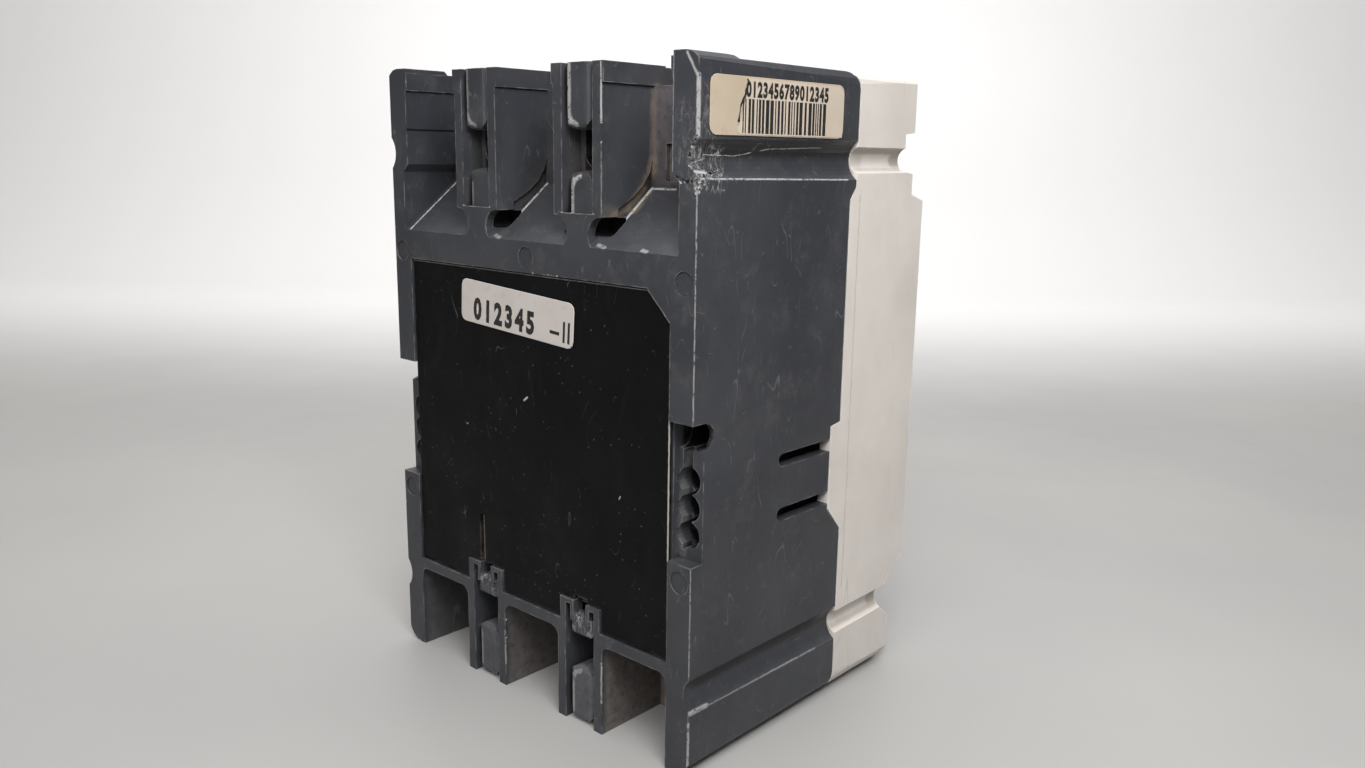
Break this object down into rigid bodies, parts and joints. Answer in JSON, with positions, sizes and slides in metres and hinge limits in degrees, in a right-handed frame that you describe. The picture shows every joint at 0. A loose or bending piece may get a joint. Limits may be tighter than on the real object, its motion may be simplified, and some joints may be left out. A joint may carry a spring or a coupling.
{
  "type": "molded case circuit breaker",
  "caption": "Boxy moulded-case circuit breaker with dark base, pale cover, toggle handle, open rear pockets, terminals at both ends, arc chutes, trip unit and moving contacts inside.",
  "frame": {"origin": "centre of the bounding box in plan, on the plane that the breaker stands on (its load end)", "axes": "+Z from the load end to the line end, +Y out of the rear mounting face, so the cover and the handle look toward -Y; +X is the width"},
  "size_m": [0.105, 0.1028, 0.1524],
  "materials": {
    "base_moulding": "slate-grey thermoset moulding, satin, worn along its edges",
    "cover_moulding": "warm light-grey moulding, satin",
    "insulation_fibre": "black fibre sheet with fine specks",
    "asset_label": "satin film label, off-white",
    "barcode_label": "aged cream paper label",
    "handle_moulding": "black moulding, fine texture",
    "trip_button": "red moulding, satin",
    "crossbar_moulding": "red-brown thermoset moulding",
    "copper": "bare copper strap",
    "steel": "zinc-plated steel",
    "brass": "plated brass screw",
    "arc_chute": "steel plates between grey fibre boards"
  },
  "bodies": {
    "case": {"case_base": "base_moulding", "case_cover": "cover_moulding", "rear_insulation_plate": "insulation_fibre", "asset_label": "asset_label", "barcode_label": "barcode_label", "mechanism_side_plate_left": "steel", "mechanism_side_plate_right": "steel", "cover_screw_1": "steel", "cover_screw_2": "steel", "cover_screw_3": "steel", "cover_screw_4": "steel", "line_conductor_1": "copper", "load_conductor_1": "copper", "flexible_shunt_1": "copper", "line_terminal_screw_1": "brass", "load_terminal_screw_1": "brass", "arc_chute_1": "arc_chute", "bimetal_1": "steel", "magnet_yoke_1": "steel", "line_conductor_2": "copper", "load_conductor_2": "copper", "flexible_shunt_2": "copper", "line_terminal_screw_2": "brass", "load_terminal_screw_2": "brass", "arc_chute_2": "arc_chute", "bimetal_2": "steel", "magnet_yoke_2": "steel", "line_conductor_3": "copper", "load_conductor_3": "copper", "flexible_shunt_3": "copper", "line_terminal_screw_3": "brass", "load_terminal_screw_3": "brass", "arc_chute_3": "arc_chute", "bimetal_3": "steel", "magnet_yoke_3": "steel"},
    "handle_assembly": {"handle": "handle_moulding", "handle_yoke": "steel", "mechanism_spring": "steel"},
    "crossbar_assembly": {"crossbar": "crossbar_moulding", "contact_arm_1": "copper", "contact_arm_2": "copper", "contact_arm_3": "copper"},
    "lower_link": {"lower_toggle_link": "steel"},
    "cradle_lever": {"cradle": "steel"},
    "upper_link": {"upper_toggle_link": "steel"},
    "trip_shaft": {"trip_bar": "crossbar_moulding"},
    "push_to_trip": {"trip_button": "trip_button"},
    "armature_body_1": {"armature_1": "steel"},
    "armature_body_2": {"armature_2": "steel"},
    "armature_body_3": {"armature_3": "steel"}
  },
  "joints": [
    {"name": "handle_pivot", "type": "hinge", "parent": "case", "child": "handle_assembly", "pos_m": [0, 0.00257, 0.076], "axis": [-1, 0, 0], "range_deg": [-4, 36]},
    {"name": "crossbar_pivot", "type": "hinge", "parent": "case", "child": "crossbar_assembly", "pos_m": [0, 0.02936, 0.062], "axis": [-1, 0, 0], "range_deg": [-5.2, 46.1]},
    {"name": "lower_link_pivot", "type": "hinge", "parent": "crossbar_assembly", "child": "lower_link", "pos_m": [0, 0.02284, 0.06876], "axis": [-1, 0, 0], "range_deg": [-38.9, 4.4]},
    {"name": "cradle_pivot", "type": "hinge", "parent": "case", "child": "cradle_lever", "pos_m": [0, 0.00436, 0.087], "axis": [-1, 0, 0], "range_deg": [0, 20]},
    {"name": "upper_link_pivot", "type": "hinge", "parent": "cradle_lever", "child": "upper_link", "pos_m": [0, 0.00136, 0.082], "axis": [-1, 0, 0], "range_deg": [-42.7, 4.8]},
    {"name": "trip_button_slide", "type": "slide", "parent": "case", "child": "push_to_trip", "axis": [0, 1, 0], "range_m": [0, 0.0025], "stiffness_N_per_m": 400},
    {"name": "trip_shaft_pivot", "type": "hinge", "parent": "case", "child": "trip_shaft", "pos_m": [0, 0.01337, 0.046], "axis": [1, 0, 0], "range_deg": [0, 14.1]},
    {"name": "armature_pivot_1", "type": "hinge", "parent": "case", "child": "armature_body_1", "pos_m": [-0.03492, 0.02516, 0.0482], "axis": [1, 0, 0], "range_deg": [0, 9], "stiffness_Nm_per_rad": 0.02},
    {"name": "armature_pivot_2", "type": "hinge", "parent": "case", "child": "armature_body_2", "pos_m": [0, 0.02516, 0.0482], "axis": [1, 0, 0], "range_deg": [0, 9], "stiffness_Nm_per_rad": 0.02},
    {"name": "armature_pivot_3", "type": "hinge", "parent": "case", "child": "armature_body_3", "pos_m": [0.03492, 0.02516, 0.0482], "axis": [1, 0, 0], "range_deg": [0, 9], "stiffness_Nm_per_rad": 0.02}
  ],
  "couplings": [
    {"joint": "crossbar_pivot", "follows": "handle_pivot", "ratio": 1.2778},
    {"joint": "lower_link_pivot", "follows": "handle_pivot", "ratio": -1.0778},
    {"joint": "upper_link_pivot", "follows": "handle_pivot", "ratio": -1.1833},
    {"joint": "trip_shaft_pivot", "follows": "trip_button_slide", "rad_per_m": 97.7}
  ]
}
